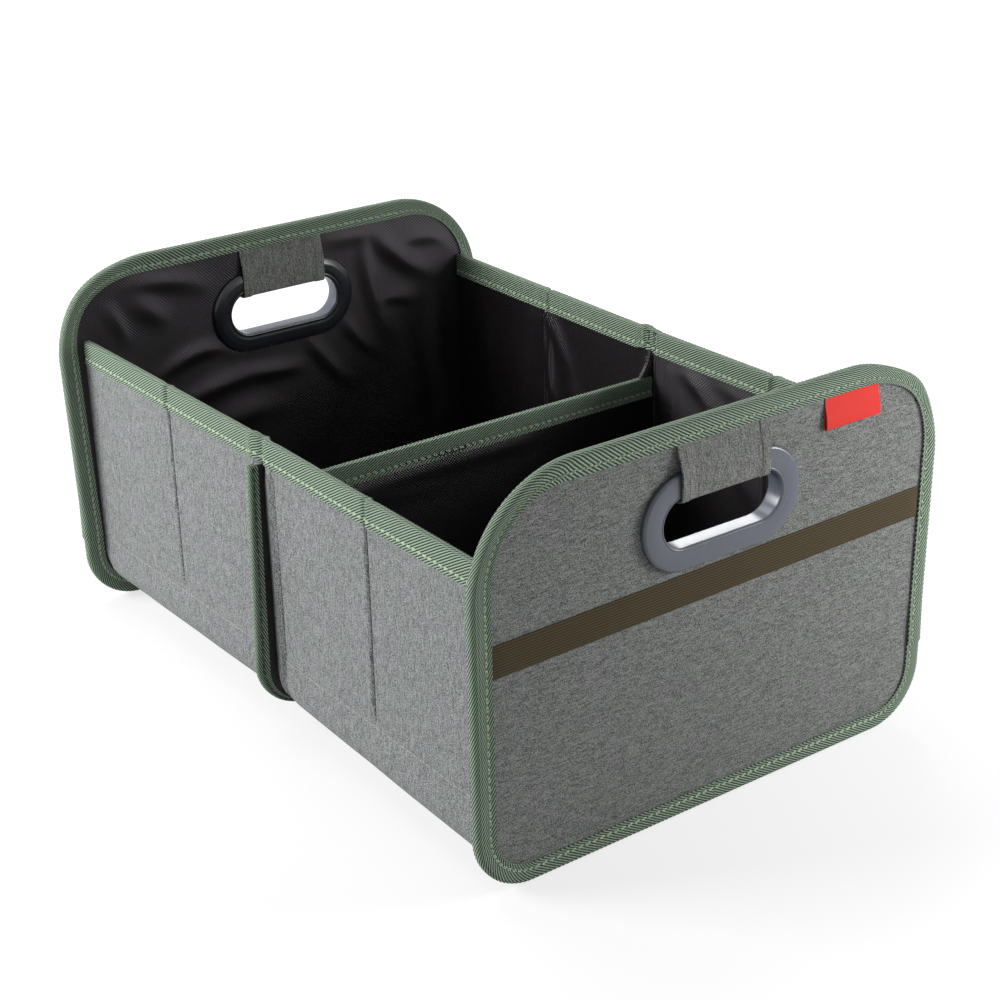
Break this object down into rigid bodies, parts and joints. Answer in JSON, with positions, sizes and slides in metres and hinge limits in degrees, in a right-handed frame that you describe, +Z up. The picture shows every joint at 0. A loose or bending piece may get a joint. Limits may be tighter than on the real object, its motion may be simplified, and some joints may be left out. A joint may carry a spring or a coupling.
{
  "type": "car storage box",
  "caption": "Folding fabric storage box for a car boot, with stiff bound end panels, hand holes, a divider and lift-up floors.",
  "frame": {"origin": "on the ground under the middle of the box", "axes": "+Z up; Y along the box, with the front panel that has the band and the tag towards -Y; X across the end panels"},
  "size_m": [0.36, 0.5098, 0.26],
  "materials": {
    "stiff_board": "plain stiff sheet, hidden inside the cloth",
    "grey_cloth": "heather grey woven polyester",
    "black_lining": "black twill lining with a slight sheen",
    "green_tape": "green herringbone binding tape, stitched along its inner edge",
    "ring_plastic": "satin blue-grey moulded plastic",
    "band_elastic": "ribbed olive brown elastic",
    "red_tag": "plain red woven tag",
    "hook_and_loop": "black hook and loop tape"
  },
  "bodies": {
    "root": {"front_panel_board": "stiff_board", "front_panel_cover": "grey_cloth", "front_panel_lining": "black_lining", "front_panel_binding": "green_tape", "front_handle_outer_ring": "ring_plastic", "front_handle_inner_ring": "ring_plastic", "front_grip_strap": "grey_cloth", "front_elastic_band": "band_elastic", "front_label_tag": "red_tag", "rear_panel_board": "stiff_board", "rear_panel_cover": "grey_cloth", "rear_panel_lining": "black_lining", "rear_panel_binding": "green_tape", "rear_handle_outer_ring": "ring_plastic", "rear_handle_inner_ring": "ring_plastic", "rear_grip_strap": "grey_cloth", "front_sleeve_cover": "grey_cloth", "front_sleeve_lining": "black_lining", "rear_sleeve_cover": "grey_cloth", "rear_sleeve_lining": "black_lining", "front_left_outer_wall_board": "stiff_board", "front_left_inner_wall_board": "stiff_board", "front_right_outer_wall_board": "stiff_board", "front_right_inner_wall_board": "stiff_board", "rear_left_outer_wall_board": "stiff_board", "rear_left_inner_wall_board": "stiff_board", "rear_right_outer_wall_board": "stiff_board", "rear_right_inner_wall_board": "stiff_board", "left_wall_binding": "green_tape", "right_wall_binding": "green_tape", "divider_board": "stiff_board", "divider_front_cover": "black_lining", "divider_rear_cover": "black_lining", "divider_top_binding": "green_tape", "divider_edge_binding": "green_tape", "front_floor_loop_strip": "hook_and_loop", "rear_floor_loop_strip": "hook_and_loop"},
    "front_floor": {"front_floor_board": "stiff_board", "front_floor_pocket": "black_lining", "front_floor_pull_loop": "green_tape", "front_floor_hook_strip": "hook_and_loop"},
    "rear_floor": {"rear_floor_board": "stiff_board", "rear_floor_pocket": "black_lining", "rear_floor_pull_loop": "green_tape", "rear_floor_hook_strip": "hook_and_loop"}
  },
  "joints": [
    {"name": "front_floor_hinge", "type": "hinge", "parent": "root", "child": "front_floor", "pos_m": [0, -0.0024, 0.0297], "axis": [-1, 0, 0], "range_deg": [0, 88]},
    {"name": "rear_floor_hinge", "type": "hinge", "parent": "root", "child": "rear_floor", "pos_m": [0, 0.0024, 0.0297], "axis": [1, 0, 0], "range_deg": [0, 88]}
  ]
}
